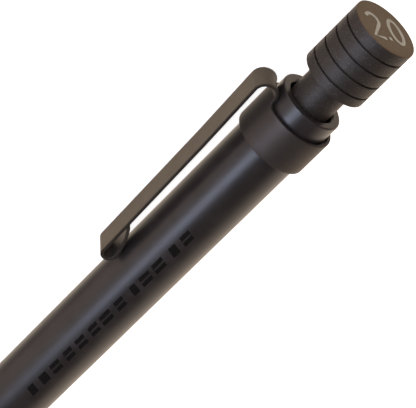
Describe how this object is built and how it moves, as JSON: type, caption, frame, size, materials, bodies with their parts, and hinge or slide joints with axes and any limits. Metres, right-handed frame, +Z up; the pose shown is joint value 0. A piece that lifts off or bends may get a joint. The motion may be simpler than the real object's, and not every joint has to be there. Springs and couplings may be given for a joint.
{
  "type": "mechanical pencil",
  "caption": "Round push-button clutch pencil for thick leads, with a knurled grip, grooved push knob and a folded metal pocket clip.",
  "frame": {"origin": "on the surface the pencil lies on, under the middle of its box", "axes": "X along the pencil, +X towards the writing end; -Y the side the clip is on; +Z up"},
  "size_m": [0.1456, 0.0132, 0.0104],
  "materials": {
    "black_anodised": "satin black anodised",
    "dark_anodised": "matt dark grey, bead blasted and anodised",
    "clip_metal": "matt warm grey coating on steel",
    "bright_steel": "bright, fine turned",
    "brass": "bright turned",
    "tube_plastic": "smoke grey, semi-matt",
    "black_nylon": "moulded, matt",
    "black_rubber": "matt",
    "white_vinyl": "matt white eraser",
    "graphite": "dull graphite lead"
  },
  "bodies": {
    "barrel": {"barrel": "black_anodised", "grip_core": "brass", "knurled_grip": "black_anodised", "clutch_sleeve": "brass", "guide_bush": "black_nylon", "clip_band": "clip_metal", "clip_liner": "black_nylon", "return_spring": "bright_steel"},
    "nose_fittings": {"lead_sleeve": "bright_steel", "lead_retainer": "black_rubber", "nose_o_ring": "black_rubber"},
    "nose_cone": {"nose_cone": "dark_anodised"},
    "push_rod": {"collet_tail": "brass", "chuck_connector": "brass", "lead_tube": "tube_plastic", "eraser": "white_vinyl"},
    "push_cap": {"push_stem": "dark_anodised", "push_knob": "dark_anodised"},
    "clutch_ring": {"clutch_ring": "brass"},
    "jaw_1": {"collet_jaw_1": "brass"},
    "jaw_2": {"collet_jaw_2": "brass"},
    "jaw_3": {"collet_jaw_3": "brass"},
    "lead": {"lead": "graphite"},
    "clip_arm": {"clip_arm": "clip_metal"}
  },
  "joints": [
    {"name": "button_press", "type": "slide", "parent": "barrel", "child": "push_rod", "axis": [1, 0, 0], "range_m": [0, 0.004], "stiffness_N_per_m": 1000, "springref_m": -0.003, "deforming": ["return_spring"]},
    {"name": "ring_slide", "type": "slide", "parent": "barrel", "child": "clutch_ring", "axis": [1, 0, 0], "range_m": [0, 0.0016]},
    {"name": "jaw_1_open", "type": "hinge", "parent": "push_rod", "child": "jaw_1", "pos_m": [0.0432, 0.00017, 0.00461], "axis": [0, 0.458, -0.8889], "range_deg": [0, 1.4]},
    {"name": "jaw_2_open", "type": "hinge", "parent": "push_rod", "child": "jaw_2", "pos_m": [0.0432, 0.00141, 0.00654], "axis": [0, -0.9989, 0.0478], "range_deg": [0, 1.4]},
    {"name": "jaw_3_open", "type": "hinge", "parent": "push_rod", "child": "jaw_3", "pos_m": [0.0432, 0.00246, 0.0045], "axis": [0, 0.5408, 0.8411], "range_deg": [0, 1.4]},
    {"name": "lead_feed", "type": "slide", "parent": "clutch_ring", "child": "lead", "axis": [1, 0, 0], "range_m": [-0.006, 0.1]},
    {"name": "cap_pull", "type": "slide", "parent": "push_rod", "child": "push_cap", "axis": [-1, 0, 0], "range_m": [0, 0.02]},
    {"name": "nose_withdraw", "type": "slide", "parent": "barrel", "child": "nose_fittings", "axis": [1, 0, 0], "range_m": [0, 0.006]},
    {"name": "nose_unscrew", "type": "hinge", "parent": "nose_fittings", "child": "nose_cone", "pos_m": [0.06025, 0.00135, 0.00522], "axis": [1, 0, 0], "range_deg": [0, 2880]},
    {"name": "clip_flex", "type": "hinge", "parent": "barrel", "child": "clip_arm", "pos_m": [-0.0587, -0.00433, 0.00229], "axis": [0, 0.458, -0.8889], "range_deg": [0, 5], "stiffness_Nm_per_rad": 2.8}
  ],
  "couplings": [
    {"joint": "ring_slide", "follows": "button_press", "ratio": 0.4},
    {"joint": "jaw_1_open", "follows": "button_press", "rad_per_m": 6.1},
    {"joint": "jaw_2_open", "follows": "button_press", "rad_per_m": 6.1},
    {"joint": "jaw_3_open", "follows": "button_press", "rad_per_m": 6.1},
    {"joint": "nose_unscrew", "follows": "nose_withdraw", "rad_per_m": 8377.6}
  ]
}
